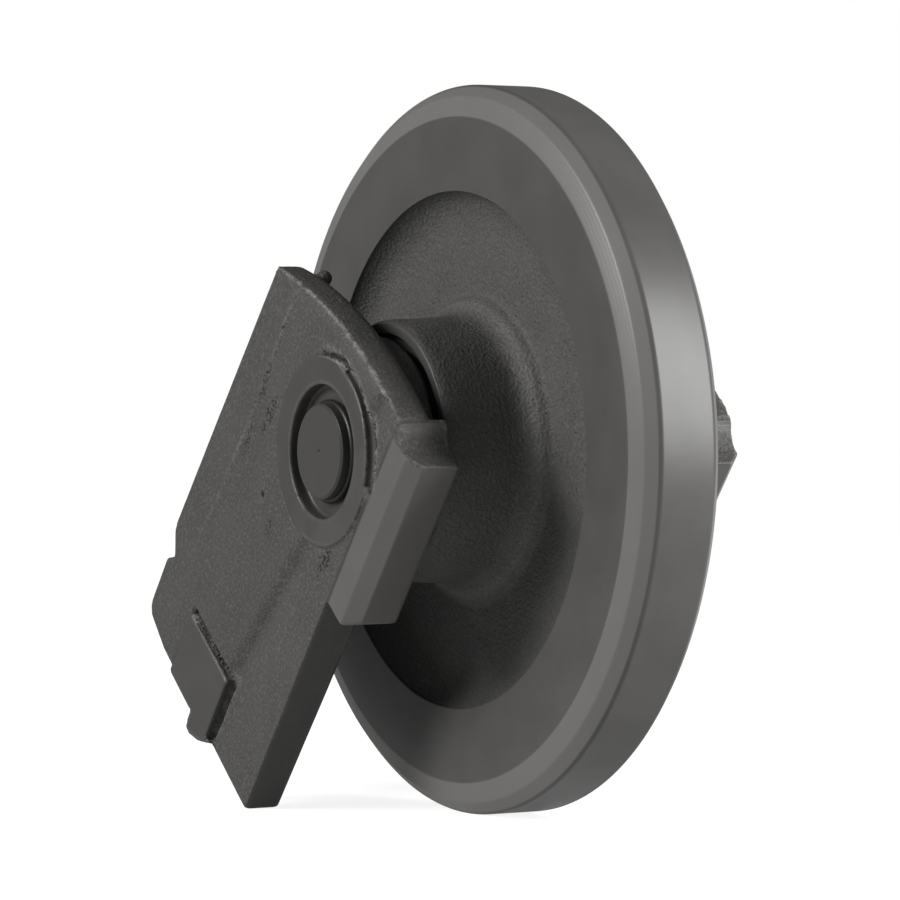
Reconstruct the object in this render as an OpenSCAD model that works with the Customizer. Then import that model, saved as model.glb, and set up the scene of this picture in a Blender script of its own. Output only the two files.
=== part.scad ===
// Front idler for a small crawler excavator: a cast guide wheel that runs on two flanged
// bushes over a fixed axle, sealed at both ends by pairs of floating seal rings, and carried
// by two cast brackets with machined guide pads. The origin is the wheel's centre, the axle
// lies along Y, and the part stands on the tread and on the rear corners of both brackets.

/* [Wheel] */
// Diameter of the tread that the track runs on
tread_d = 356; // [346:1:362]
// Width of the cylindrical tread
tread_w = 30; // [26:1:34]
// Small edge break beside the tread
tread_edge = 1.2; // [0.5:0.1:2]
// Axial width of the steep bevel beside the tread
guide_bevel_w = 5.1; // [3:0.1:6]
// Axial width of the flat bevel that leads to the rim face
face_bevel_w = 2.7; // [1.5:0.1:5]
// Radial drop of the steep bevel beside the tread
guide_bevel_drop = 6.2; // [4:0.2:9]
// Radial drop of the flat bevel that leads to the rim face
face_bevel_drop = 9.4; // [6:0.2:13]
// Diameter of the recess in the rim face
recess_d = 252; // [236:1:264]
// Depth of the machined step at the recess edge
recess_step = 3; // [1:0.5:4]
// Thickness of the cast web
web_t = 20.4; // [16:0.2:26]
// Radius of the dished corner between rim and web
dish_r = 22; // [12:1:30]

/* [Hub] */
// Wall of the hub round its open mouth
hub_wall = 6.2; // [4.5:0.1:8]
// Radial growth of the hub from its end to its root
hub_taper = 1.8; // [0.5:0.1:3]
// Rounded edge of the hub end
hub_edge = 1.6; // [0.5:0.1:2.5]
// Radial step of the cast shoulder round the hub root
shoulder_step = 9.5; // [8.5:0.1:13]
// Height of the shoulder's straight foot above the web
shoulder_foot = 1; // [0.5:0.1:3]
// Radius of the shoulder's rounded edge
shoulder_round = 5; // [3.5:0.1:6]
// Radius of the hollow between hub and shoulder
hub_fillet = 9; // [8:0.5:14]
// Radial room between the wall of the hub's mouth and the bracket collar's rim
mouth_gap = 1.8; // [1:0.1:3]
// Depth of the open mouth at the hub end
mouth_depth = 4; // [2:0.1:4.6]

/* [Axle] */
// Diameter of the axle
axle_d = 46; // [42:0.5:48]
// Width over the two machined bracket faces
boss_span = 188.2; // [185:0.2:196]
// How far the axle stands proud of each bracket face
axle_proud = 1.4; // [0.5:0.1:4]
// Chamfer on the axle ends
axle_edge = 1; // [0.5:0.1:2]
// Diameter of the turning centre in the axle end
centre_mark_d = 3; // [2:0.2:5]
// Diameter of the oil passages in the axle
oil_hole_d = 8; // [5:0.5:9]

/* [Oil plug] */
// Thread diameter of the oil plug
plug_d = 14; // [12:1:16]
// Length of the plug's thread
plug_len = 12; // [8:0.5:16]
// Diameter of the plug's collar
plug_collar_d = 19; // [18:0.5:22]
// Thickness of the plug's collar
plug_collar_t = 3; // [2:0.2:4]
// Width across flats of the plug's socket
plug_socket = 6; // [5:1:8]
// Depth of the plug's socket
plug_socket_depth = 7; // [4:0.5:9]
// Thickness of the sealing washer under the plug
washer_t = 1.5; // [1:0.1:2]

/* [Bush] */
// Wall of the bush
bush_wall = 4.5; // [3.5:0.1:5.5]
// Length of the bush under its flange
bush_len = 30; // [24:0.5:36]
// Radial width of the bush flange past the bush
bush_rim = 4.45; // [3:0.05:5.5]
// Thickness of the bush flange
bush_flange_t = 4; // [3:0.2:5]
// Radial depth of the oil chamber behind the bushes
chamber_step = 3.45; // [1:0.05:10]

/* [Floating seal] */
// Gap between the hub end and the bracket collar
collar_gap = 1.8; // [1.2:0.1:3]
// Radial room between the bush flange and a metal seal ring
seal_gap = 4; // [3:0.1:5]
// Wall of a metal seal ring at the thin end of its ramp
seal_wall = 5.4; // [4.5:0.1:6.5]
// Radial width of the lapped flange past the ramp
seal_lip = 3.4; // [2.4:0.1:4]
// Thickness of the lapped face flange
seal_flange_t = 2.2; // [1.5:0.1:2.5]
// Length of a metal seal ring
seal_len = 9.2; // [8.5:0.1:10]
// Radial fall along the ring's ramp
seal_ramp_fall = 1.2; // [0.6:0.1:1.6]
// Distance of the ramp's foot from the lapped face
seal_ramp_at = 4.4; // [4:0.1:4.8]
// Relief at the inner edge of the lapped face
seal_relief = 2; // [1:0.2:3]
// Thickness of a rubber toric ring
toric_t = 6.9; // [6:0.1:7.2]
// Distance of the rubber ring up the ramp
toric_up = 2.5; // [2:0.1:3]
// Slope of the housing wall round the rubber ring
housing_angle = 9; // [6:0.5:12]

/* [Bracket plate] */
// Thickness of the plate along its lower strip
plate_t = 21.2; // [18:0.2:24]
// Thinning of the plate from its inner face at the rear end
back_taper = 3.2; // [1:0.1:5]
// Drop of the lower strip below the machined boss face
strip_drop = 1.5; // [1:0.1:3]
// Rise of the cast land above the machined boss face
land_rise = 0.5; // [0.2:0.1:2]
// Reach of the rear end past the tread
rear_past = 14.4; // [8:0.2:22]
// Wall of the front end ahead of the collar
front_wall = 6.2; // [5.3:0.1:10]
// Radius of the crowned front end
front_crown = 260; // [200:5:320]
// Shift of the crown's middle toward the guide pad
crown_shift = 10; // [5:1:20]
// Rounded outer edge of the cast front end
front_round = 5.5; // [2:0.5:7]
// Rounded inner edge of the cast front end
front_back_round = 10; // [3:0.5:11]
// Diameter of the cast nub on the inner edge of the front end
nub_d = 8; // [5:0.5:10]
// Distance of the nub from the axle line
nub_at = 80; // [76:1:84]
// Reach of the guide side edge from the axle
edge_reach = 47; // [44:0.2:50]
// Reach of the far side edge at the front
back_reach_front = 93; // [86:0.5:98]
// Reach of the far side edge at the notch
back_reach_rear = 103.3; // [99:0.5:108]
// Drop of the ear behind the notch from that edge
ear_drop = 3.8; // [1:0.2:8]
// Distance of the notch ahead of the rear end
notch_back = 45.4; // [42:0.2:52]
// Depth of the notch in the far side edge
notch_depth = 11; // [6:0.5:14]
// Step of the ear's rear edge ahead of the rear end
ear_step = 3.6; // [1:0.2:6]
// Corner cut of the ear
ear_cut = 4; // [2:0.5:8]
// Distance from the axle to the bend of the far side strip
bend_at = 69; // [62:0.5:76]
// Fall of the far side strip at its edge
bend_fall = 4; // [2:0.1:6]
// Width of the slope between land and lower strip
slope_w = 9; // [5:0.5:14]
// Distance of the slope from the axle line, beside the boss
slope_at = 14.8; // [12:0.2:20]
// Angle of the slope to the plate's length
slope_angle = 9; // [4:0.5:12]

/* [Bracket boss] */
// Diameter of the machined face round the axle
boss_d = 91.4; // [86:0.2:94]
// Diameter of the counterbore round the axle end
counterbore_d = 65; // [60:0.5:72]
// Depth of the counterbore round the axle end
counterbore_depth = 6.5; // [5:0.1:9]
// Depth from the machined face to the end of the cast collar that houses the seal
collar_depth = 31.8; // [30:0.2:34]
// Wall of that collar round the seal
collar_wall = 5.1; // [4:0.1:6]
// Hollow corner between collar and plate
collar_fillet = 5; // [2:0.5:5]
// Width of the cast groove beside the boss
groove_w = 6; // [4:0.2:7]
// Bite of the cast groove into the edge of the machined face
groove_bite = 1; // [0.6:0.1:1.6]
// Angle from the plate's length at which the cast groove starts
groove_from = 108; // [96:2:120]
// Angle that the cast groove spans
groove_span = 80; // [60:2:130]

/* [Guide pad] */
// Reach of the pad's sliding face from the axle
pad_reach = 70.3; // [66:0.2:76]
// Length of the pad ahead of the axle
pad_front = 48.5; // [44:0.5:52]
// Length of the pad behind the axle
pad_rear = 54.4; // [48:0.2:62]
// Depth of the pad block along the axle
pad_t = 25.4; // [22:0.2:28]
// Drop of the pad's outer face below the boss face
pad_drop = 1.9; // [1.6:0.1:4]
// Chamfer along the pad's outer edge
pad_chamfer = 6.8; // [3:0.2:9]
// Corner cut at the pad's rear end
pad_corner = 6; // [3:0.2:9]
// Depth to which the pad runs into the plate
pad_root = 8; // [5:0.5:10]
// Radius of the hollow sweep from the front end into the pad
pad_sweep = 18; // [14:0.5:22]

/* [Rear seat] */
// Rise of the machined rear seat above the boss face
seat_rise = 1.1; // [0.8:0.1:3]
// Length of the rear seat
seat_len = 39; // [30:0.5:46]
// Distance from the axle line to the seat's inner edge
seat_inner = 4.5; // [0:0.5:10]
// Width of the rear seat
seat_w = 51; // [40:0.5:56]
// Depth of the cast valley beside the seat
valley_depth = 3.6; // [2:0.2:5]
// Width of the cast valley beside the seat
valley_w = 7; // [5:0.2:10]
// Width of the valley's flat floor
valley_floor_w = 2; // [1:0.2:3]
// Angle by which the valley runs out along the seat's front edge
valley_turn = 6; // [4:0.5:9]
// Reach of the tongue behind the rear end
tongue_reach = 10.8; // [6:0.2:15]
// Width of the tongue at the rear end
tongue_w = 25; // [18:0.5:30]
// Width of the tongue's rounded tip
tongue_tip_w = 8; // [4:0.5:12]
// Reach of the tongue at the bend of its slanting side
tongue_bend_reach = 6.4; // [4:0.2:8]
// Distance of that bend from the axle line
tongue_bend_w = 10; // [6:0.5:12]

/* [Wire rings] */
// Wire diameter of the axle snap ring
snap_wire = 3.5; // [2.5:0.1:4.5]
// Depth of the snap ring's groove in the axle
snap_groove = 1.4; // [1:0.1:1.6]
// Open angle of the axle snap ring
snap_gap = 20; // [10:1:40]
// Thickness of the rubber ring between axle and bracket
o_ring_t = 2.9; // [2.4:0.1:3.5]
// Distance of that rubber ring inside the counterbore floor
o_ring_in = 8; // [6:0.2:10]
// Spare width of that rubber ring's groove
o_ring_room = 1; // [0.4:0.1:1.6]

/* [Fits] */
// Radial running clearance of the bush on the axle
run_clear = 0.05; // [0.02:0.01:0.1]
// Radial clearance of parts that are fixed together
fix_clear = 0.02; // [0.01:0.01:0.05]
// Clearance round a rubber ring
rubber_clear = 0.06; // [0.03:0.01:0.15]
// Gap between the two lapped seal faces
film = 0.1; // [0.05:0.01:0.2]
// End play between bush flange and bracket
end_play = 0.3; // [0.2:0.05:0.6]

/* [Hidden] */
$fn = 96;
eps = 0.5;
tread_r = tread_d / 2;
axle_r = axle_d / 2;
boss_z = boss_span / 2;
collar_z = boss_z - collar_depth;
hub_z = collar_z - collar_gap;
lap_z = hub_z + collar_gap / 2;

// Bush and metal seal ring, each sized from the piece inside it
bush_bore_r = axle_r + run_clear;
bush_r = bush_bore_r + bush_wall;
bush_flange_r = bush_r + bush_rim;
chamber_r = bush_r + chamber_step;
seal_bore_r = bush_flange_r + seal_gap;
ramp_top_r = seal_bore_r + seal_wall;
ramp_foot_r = ramp_top_r + seal_ramp_fall;
seal_flange_r = ramp_foot_r + seal_lip;

// Seal housing, the same on the hub and on the bracket, measured from the lapped plane
toric_r = toric_t / 2;
ramp_angle = atan2(seal_ramp_fall, seal_len - seal_ramp_at);
toric_at = seal_ramp_at + toric_up;
toric_centre = ramp_foot_r - toric_up * tan(ramp_angle) + (toric_r + rubber_clear) / cos(ramp_angle);
housing_in = collar_gap / 2;
housing_depth = toric_at + toric_r + rubber_clear + eps;
housing_mid_r = toric_centre + (toric_r + rubber_clear) / cos(housing_angle);
housing_mouth_r = housing_mid_r + (toric_at - housing_in) * tan(housing_angle);
housing_floor_r = housing_mid_r - (housing_depth - toric_at) * tan(housing_angle);
hub_floor_z = lap_z - housing_depth;
collar_floor_z = lap_z + housing_depth;
bush_in_z = hub_floor_z - bush_len;
spigot_z = hub_floor_z + bush_flange_t + end_play;
collar_r = housing_mouth_r + collar_wall;

// Half profile of the wheel, its hub sized from the seal inside it
web_z = web_t / 2;
rim_z = tread_w / 2 + guide_bevel_w + face_bevel_w;
bevel_r = tread_r - guide_bevel_drop;
face_r = bevel_r - face_bevel_drop;
recess_r = recess_d / 2;
dish_rise = rim_z - recess_step - web_z;
dish_at = recess_r - sqrt(dish_r * dish_r - pow(dish_r - dish_rise, 2));
mouth_r = collar_r + mouth_gap;
hub_end_r = mouth_r + hub_wall;
hub_root_r = hub_end_r + hub_taper;
shoulder_r = hub_root_r + shoulder_step;
round_r = shoulder_r - shoulder_round;
round_z = web_z + shoulder_foot;
fillet_r = hub_root_r + hub_fillet;
fillet_z = round_z + sqrt(pow(hub_fillet + shoulder_round, 2) - pow(fillet_r - round_r, 2));

// Bracket heights along the axle, its reach, and its hang, by which its rear corner meets the floor
rear_reach = tread_r + rear_past;
front_reach = collar_r + front_wall;
ear_reach = back_reach_rear - ear_drop;
notch_at = rear_reach - notch_back;
strip_z = boss_z - strip_drop;
land_z = boss_z + land_rise;
seat_z = boss_z + seat_rise;
plate_back = strip_z - plate_t;
pad_face = boss_z - pad_drop;
pad_back = pad_face - pad_t;
counterbore_z = boss_z - counterbore_depth;
corner_r = norm([rear_reach, edge_reach]);
hang = 180 + atan2(edge_reach, rear_reach) - asin(tread_r / corner_r);
crown_at = front_crown - front_reach;
sweep_front = sqrt(pow(front_crown, 2) - pow(edge_reach - crown_shift, 2)) - crown_at - 2 * eps;
crown_inner_z = plate_back + front_back_round;
crown_outer_z = land_z - front_round;
nub_x = crown_at - sqrt(pow(front_crown, 2) - pow(nub_at + crown_shift, 2));
seat_front = rear_reach - seat_len;
taper_from = collar_r + collar_fillet;
seat_outer = seat_inner + seat_w;
over = 30;
cut_top = seat_z + over;
long = rear_reach + front_reach + 2 * over;

// Rings on the axle
snap_r = snap_wire / 2;
snap_at = axle_r + snap_r - snap_groove;
snap_z = counterbore_z + snap_r + fix_clear;
o_ring_r = o_ring_t / 2;
o_ring_z = counterbore_z - o_ring_in;
o_ring_at = axle_r + fix_clear - rubber_clear - o_ring_r;
o_groove_r = o_ring_at - o_ring_r - rubber_clear;
o_groove_w = o_ring_t + o_ring_room;

// Oil plug in the far end of the axle
axle_z = boss_z + axle_proud;
plug_seat_z = axle_z - plug_collar_t - washer_t;

// Stands a shape that was turned about Z on the axle, its top toward the near side
module on_axle() {
    rotate([90, 0, 0]) children();
}

// Carries a near side shape over to the far side
module far_side() {
    mirror([0, 1, 0]) children();
}

// Places a bracket drawn flat, its length along X, its width along Y and its thickness along Z
module hung() {
    rotate([0, hang, 0]) on_axle() children();
}

// Hollow corner piece for the angle between two straight edges, as a square less a circle
module hollow_corner(r) {
    difference() {
        square(r);
        translate([r, r]) circle(r);
    }
}

// Rim of the wheel from tread to recess, one half of the section
module rim_section() {
    polygon([
        [recess_r, 0],
        [tread_r, 0],
        [tread_r, tread_w / 2 - tread_edge],
        [tread_r - tread_edge / 2, tread_w / 2],
        [bevel_r, tread_w / 2 + guide_bevel_w],
        [face_r, rim_z],
        [recess_r, rim_z]
    ]);
}

// Web of the wheel with its dished outer corner, one half of the section
module web_section() {
    translate([bush_r, 0]) square([recess_r - bush_r, web_z]);
    difference() {
        translate([dish_at, 0]) square([recess_r - dish_at, web_z + dish_rise]);
        translate([dish_at, web_z + dish_r]) circle(dish_r);
    }
}

// Hub of the wheel with the rounded shoulder at its root, one half of the section
module hub_section() {
    polygon([
        [bush_r, 0],
        [hub_root_r, 0],
        [hub_root_r, fillet_z],
        [hub_end_r, hub_z - hub_edge],
        [hub_end_r - hub_edge, hub_z],
        [bush_r, hub_z]
    ]);
    difference() {
        polygon([
            [hub_root_r - eps, 0],
            [shoulder_r, 0],
            [shoulder_r, round_z],
            [round_r, round_z],
            [fillet_r, fillet_z],
            [hub_root_r - eps, fillet_z]
        ]);
        translate([fillet_r, fillet_z]) circle(hub_fillet);
    }
    translate([round_r, round_z]) circle(shoulder_round);
}

// Everything that is bored out of the hub, one half of the section
module hub_bore_section() {
    square([chamber_r, bush_in_z]);
    square([bush_r + fix_clear, hub_z + eps]);
    polygon([
        [0, hub_floor_z],
        [housing_floor_r, hub_floor_z],
        [housing_mouth_r, lap_z - housing_in],
        [housing_mouth_r, hub_z + eps],
        [0, hub_z + eps]
    ]);
    translate([0, hub_z - mouth_depth]) square([mouth_r, mouth_depth + eps]);
}

module idler_wheel() {
    color("#4d4b4c") on_axle() rotate_extrude() difference() {
        for (side = [0, 1]) {
            mirror([0, side]) {
                rim_section();
                web_section();
                hub_section();
            }
        }
        for (side = [0, 1]) {
            mirror([0, side]) hub_bore_section();
        }
    }
}

// Groove for a snap ring or a rubber ring, cut round the axle
module axle_grooves() {
    for (side = [0, 1]) {
        mirror([0, 0, side]) {
            rotate_extrude() translate([snap_at, snap_z]) circle(snap_r + fix_clear);
            translate([0, 0, o_ring_z - o_groove_w / 2]) difference() {
                cylinder(r = axle_r + eps, h = o_groove_w);
                translate([0, 0, -eps]) cylinder(r = o_groove_r, h = o_groove_w + 2 * eps);
            }
        }
    }
}

// Axial bore from the far end, its plug seat, and the cross hole to the oil chamber
module oil_passage() {
    mirror([0, 0, 1]) {
        cylinder(d = oil_hole_d, h = axle_z);
        translate([0, 0, plug_seat_z - plug_len - eps]) cylinder(r = plug_d / 2 + fix_clear, h = axle_z);
        translate([0, 0, plug_seat_z]) cylinder(r = plug_collar_d / 2 + eps, h = axle_z);
    }
    rotate([90, 0, 0]) cylinder(d = oil_hole_d, h = axle_d, center = true);
}

module axle_shaft() {
    color("#565452") on_axle() difference() {
        rotate_extrude() polygon([
            [0, -axle_z],
            [axle_r - axle_edge, -axle_z],
            [axle_r, -axle_z + axle_edge],
            [axle_r, axle_z - axle_edge],
            [axle_r - axle_edge, axle_z],
            [0, axle_z]
        ]);
        axle_grooves();
        oil_passage();
        translate([0, 0, axle_z - centre_mark_d / 2]) {
            cylinder(d1 = 0, d2 = centre_mark_d, h = centre_mark_d / 2);
        }
    }
}

// Outline of the plate seen along the axle, square at the front where the crown trims it
module plate_outline() {
    front = -front_reach - eps;
    polygon([
        [front, -back_reach_front],
        [notch_at - notch_depth, -back_reach_rear],
        [notch_at, -back_reach_rear + notch_depth],
        [notch_at + notch_depth - ear_drop, -ear_reach],
        [rear_reach - ear_step - ear_cut, -ear_reach],
        [rear_reach - ear_step, -ear_reach + ear_cut],
        [rear_reach - ear_step, -seat_outer],
        [rear_reach, -seat_outer],
        [rear_reach, edge_reach],
        [front, edge_reach]
    ]);
    tongue_outline();
}

// Tongue behind the rear seat, straight on one side, slanting to a rounded tip on the other
module tongue_outline() {
    tip = rear_reach + tongue_reach;
    tip_r = tongue_tip_w / 2;
    polygon([
        [rear_reach - eps, -tongue_w],
        [tip - tip_r, -tongue_w],
        [tip, -tongue_w + tip_r],
        [rear_reach + min(tongue_bend_reach, tongue_reach), -tongue_bend_w],
        [rear_reach - eps, 0]
    ]);
    translate([tip - tip_r, -tongue_w + tip_r]) circle(tip_r);
}

// Disc with a rounded outer edge whose rim is the crowned front end of the plate
module crown_disc() {
    translate([crown_at, crown_shift, 0]) rotate_extrude() {
        translate([0, plate_back]) square([front_crown - front_back_round, seat_z - plate_back]);
        translate([0, crown_inner_z]) square([front_crown - front_round, seat_z - crown_inner_z]);
        translate([0, crown_inner_z]) square([front_crown, crown_outer_z - crown_inner_z]);
        translate([front_crown - front_round, crown_outer_z]) circle(front_round);
        translate([front_crown - front_back_round, crown_inner_z]) circle(front_back_round);
    }
}

// Shape under the crown, which trims what stands on the inner face of the plate
module under_crown() {
    translate([crown_at, crown_shift, collar_z]) {
        cylinder(r = front_crown - front_back_round - eps, h = plate_back - collar_z + eps);
    }
}

// Section of the plate across its width: land, and the strip that bends down to the far edge
module plate_section() {
    wide = back_reach_rear + eps;
    polygon([
        [edge_reach + pad_reach, plate_back],
        [edge_reach + pad_reach, land_z],
        [-bend_at, land_z],
        [-wide, land_z - bend_fall],
        [-wide, plate_back]
    ]);
}

// Lays a section drawn across the plate's width along the plate's length
module along_plate(from, length) {
    translate([from, 0, 0]) rotate([90, 0, 90]) linear_extrude(length) children();
}

// Lower strip along the guide side, reached by a slope that narrows the land toward the rear
module strip_cut() {
    side = edge_reach + long * sin(slope_angle);
    rotate([0, 0, -slope_angle]) along_plate(-front_reach - over, long) polygon([
        [slope_at, land_z],
        [slope_at + slope_w, strip_z],
        [side, strip_z],
        [side, cut_top],
        [slope_at, cut_top]
    ]);
}

// Cast plate trimmed by its outline and crown, before the boss and pads are added
module plate() {
    difference() {
        intersection() {
            translate([0, 0, plate_back]) linear_extrude(land_z - plate_back) plate_outline();
            along_plate(-front_reach - over, long) plate_section();
            crown_disc();
        }
        strip_cut();
        seat_valley();
    }
}

// Cast valley round the seat's inner corner, running out along the seat's front edge
module seat_valley() {
    translate([seat_front, -seat_inner, 0]) {
        along_plate(0, seat_len + eps) valley_section();
        rotate([0, 0, 90]) rotate_extrude(angle = 90 + valley_turn) valley_section();
        rotate([0, 0, valley_turn - 90]) mirror([0, 1, 0]) along_plate(0, seat_w) valley_section();
    }
}

// Section of that valley, steep at the seat and easing out to the plate
module valley_section() {
    polygon([
        [0, land_z - valley_depth],
        [valley_floor_w, land_z - valley_depth],
        [valley_w, land_z],
        [valley_w, cut_top],
        [0, cut_top]
    ]);
}

// Machined seat that stands proud at the rear end, with the tongue's face level with it
module rear_seat() {
    translate([0, 0, plate_back]) linear_extrude(seat_z - plate_back) {
        translate([seat_front, -seat_outer]) square([seat_len, seat_w]);
        tongue_outline();
    }
}

// Sliding pad along the guide side, with a long chamfer and a trimmed rear corner
module guide_pad() {
    inside = edge_reach - pad_root;
    intersection() {
        along_plate(-front_reach - over, long) polygon([
            [inside, pad_back],
            [pad_reach, pad_back],
            [pad_reach, pad_face - pad_chamfer],
            [pad_reach - pad_chamfer, pad_face],
            [inside, pad_face]
        ]);
        translate([0, 0, pad_back]) linear_extrude(pad_t) polygon([
            [-pad_front, inside],
            [pad_rear, inside],
            [pad_rear, pad_reach - pad_corner],
            [pad_rear - pad_corner, pad_reach],
            [-pad_front, pad_reach]
        ]);
    }
    pad_front_sweep();
}

// Hollow sweep that carries the front end over into the pad
module pad_front_sweep() {
    difference() {
        translate([-sweep_front, edge_reach - eps, pad_back]) {
            cube([sweep_front - pad_front + eps, pad_reach - pad_chamfer - edge_reach, pad_t]);
        }
        translate([eps - pad_front - pad_sweep, edge_reach + pad_sweep, pad_back - eps]) {
            cylinder(r = pad_sweep, h = pad_t + 2 * eps);
        }
    }
}

// Boss, collar and spigot round the axle, one half of their section
module boss_section() {
    translate([0, collar_z]) square([collar_r, plate_back - collar_z + eps]);
    translate([0, spigot_z]) square([bush_flange_r, plate_back - spigot_z]);
    translate([0, plate_back]) square([boss_d / 2, boss_z - plate_back]);
}

// Hollow corner round the collar, trimmed where the front end rounds off
module collar_corner() {
    intersection() {
        rotate_extrude() translate([collar_r, plate_back]) mirror([0, 1]) hollow_corner(collar_fillet);
        under_crown();
    }
}

// Ring shaped seal housing in the collar, one half of its section
module collar_housing_section() {
    polygon([
        [bush_flange_r, collar_z - eps],
        [housing_mouth_r, collar_z - eps],
        [housing_mouth_r, collar_z],
        [housing_floor_r, collar_floor_z],
        [bush_flange_r, collar_floor_z]
    ]);
}

// Wedge that thins the plate toward its rear end, cut from the inner face
module back_taper_cut() {
    past = over * back_taper / (rear_reach - taper_from);
    rotate([90, 0, 0]) linear_extrude(2 * (back_reach_rear + over), center = true) polygon([
        [taper_from, plate_back],
        [rear_reach + over, plate_back + back_taper + past],
        [rear_reach + over, plate_back - eps],
        [taper_from, plate_back - eps]
    ]);
}

// One bracket, drawn flat with its machined face up
module bracket() {
    difference() {
        union() {
            plate();
            guide_pad();
            rear_seat();
            rotate_extrude() boss_section();
            collar_corner();
            translate([nub_x + nub_d / 4, -nub_at, plate_back + nub_d / 4]) sphere(d = nub_d);
        }
        translate([0, 0, boss_z]) cylinder(d = boss_d, h = land_rise + eps);
        translate([0, 0, counterbore_z]) cylinder(d = counterbore_d, h = cut_top);
        cylinder(r = axle_r + fix_clear, h = cut_top);
        rotate_extrude() collar_housing_section();
        back_taper_cut();
        rotate([0, 0, groove_from]) rotate_extrude(angle = groove_span) {
            translate([boss_d / 2 + groove_w / 2 - groove_bite, strip_z]) circle(d = groove_w);
        }
    }
}

module near_bracket() {
    color("#545351") hung() bracket();
}

module far_bracket() {
    color("#545351") far_side() hung() bracket();
}

// Flanged bush that carries the wheel on the axle
module bush() {
    on_axle() rotate_extrude() {
        translate([bush_bore_r, bush_in_z]) square([bush_wall, bush_len + bush_flange_t]);
        translate([bush_bore_r, hub_floor_z]) square([bush_wall + bush_rim, bush_flange_t]);
    }
}

module near_bush() {
    color("#a8834e") bush();
}

module far_bush() {
    color("#a8834e") far_side() bush();
}

// Metal seal ring in section, measured outward from its lapped face
module seal_ring_section() {
    polygon([
        [seal_bore_r, seal_relief / 2 + film / 2],
        [seal_bore_r + seal_relief, film / 2],
        [seal_flange_r, film / 2],
        [seal_flange_r, seal_flange_t],
        [ramp_foot_r, seal_ramp_at],
        [ramp_top_r, seal_len],
        [seal_bore_r, seal_len]
    ]);
}

// Puts a seal part on the bracket's side of the lapped plane
module bracket_half() {
    on_axle() translate([0, 0, lap_z]) rotate_extrude() children();
}

// Puts a seal part on the wheel's side of the lapped plane
module hub_half() {
    on_axle() translate([0, 0, lap_z]) mirror([0, 0, 1]) rotate_extrude() children();
}

// Rubber ring in section, lying between the metal ring's ramp and the housing's ramp
module toric_section() {
    translate([toric_centre, toric_at]) circle(toric_r);
}

module near_hub_seal_ring() {
    color("#8b8d90") hub_half() seal_ring_section();
}

module far_hub_seal_ring() {
    color("#8b8d90") far_side() hub_half() seal_ring_section();
}

module near_bracket_seal_ring() {
    color("#8b8d90") bracket_half() seal_ring_section();
}

module far_bracket_seal_ring() {
    color("#8b8d90") far_side() bracket_half() seal_ring_section();
}

module near_hub_toric() {
    color("#1d1d1d") hub_half() toric_section();
}

module far_hub_toric() {
    color("#1d1d1d") far_side() hub_half() toric_section();
}

module near_bracket_toric() {
    color("#1d1d1d") bracket_half() toric_section();
}

module far_bracket_toric() {
    color("#1d1d1d") far_side() bracket_half() toric_section();
}

// Rubber ring in the axle groove, inside the bracket's bore
module axle_o_ring() {
    on_axle() rotate_extrude() translate([o_ring_at, o_ring_z]) circle(o_ring_r);
}

module near_axle_o_ring() {
    color("#1d1d1d") axle_o_ring();
}

module far_axle_o_ring() {
    color("#1d1d1d") far_side() axle_o_ring();
}

// Open wire ring that keeps the bracket on the axle
module snap_ring() {
    on_axle() rotate([0, 0, 180 + snap_gap / 2]) rotate_extrude(angle = 360 - snap_gap) {
        translate([snap_at, snap_z]) circle(snap_r);
    }
}

module near_snap_ring() {
    color("#6f6e6b") snap_ring();
}

module far_snap_ring() {
    color("#6f6e6b") far_side() snap_ring();
}

// Socket plug that closes the oil passage at the far end of the axle
module oil_plug() {
    color("#77746c") far_side() on_axle() difference() {
        union() {
            translate([0, 0, plug_seat_z - plug_len]) cylinder(d = plug_d, h = plug_len + washer_t + eps);
            translate([0, 0, plug_seat_z + washer_t]) cylinder(d = plug_collar_d, h = plug_collar_t);
        }
        translate([0, 0, axle_z - plug_socket_depth]) {
            cylinder(d = plug_socket / cos(30), h = plug_socket_depth + eps, $fn = 6);
        }
    }
}

module oil_plug_washer() {
    color("#b5764a") far_side() on_axle() translate([0, 0, plug_seat_z]) difference() {
        cylinder(d = plug_collar_d, h = washer_t);
        translate([0, 0, -eps]) cylinder(r = plug_d / 2 + fix_clear, h = washer_t + 2 * eps);
    }
}

idler_wheel();
axle_shaft();
near_bracket();
far_bracket();
near_bush();
far_bush();
near_hub_seal_ring();
far_hub_seal_ring();
near_bracket_seal_ring();
far_bracket_seal_ring();
near_hub_toric();
far_hub_toric();
near_bracket_toric();
far_bracket_toric();
near_axle_o_ring();
far_axle_o_ring();
near_snap_ring();
far_snap_ring();
oil_plug();
oil_plug_washer();
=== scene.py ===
"""Looks of a small excavator's front idler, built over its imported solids.

The cast wheel and the two cast brackets get skins with the relief of sand castings. The pieces that were turned, drawn
or moulded keep their solids and get their finishes.
"""

import itertools
import logging
import math
from dataclasses import dataclass
from enum import Enum
from typing import Any

import bpy
import numpy as np
from mathutils import Matrix


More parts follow.
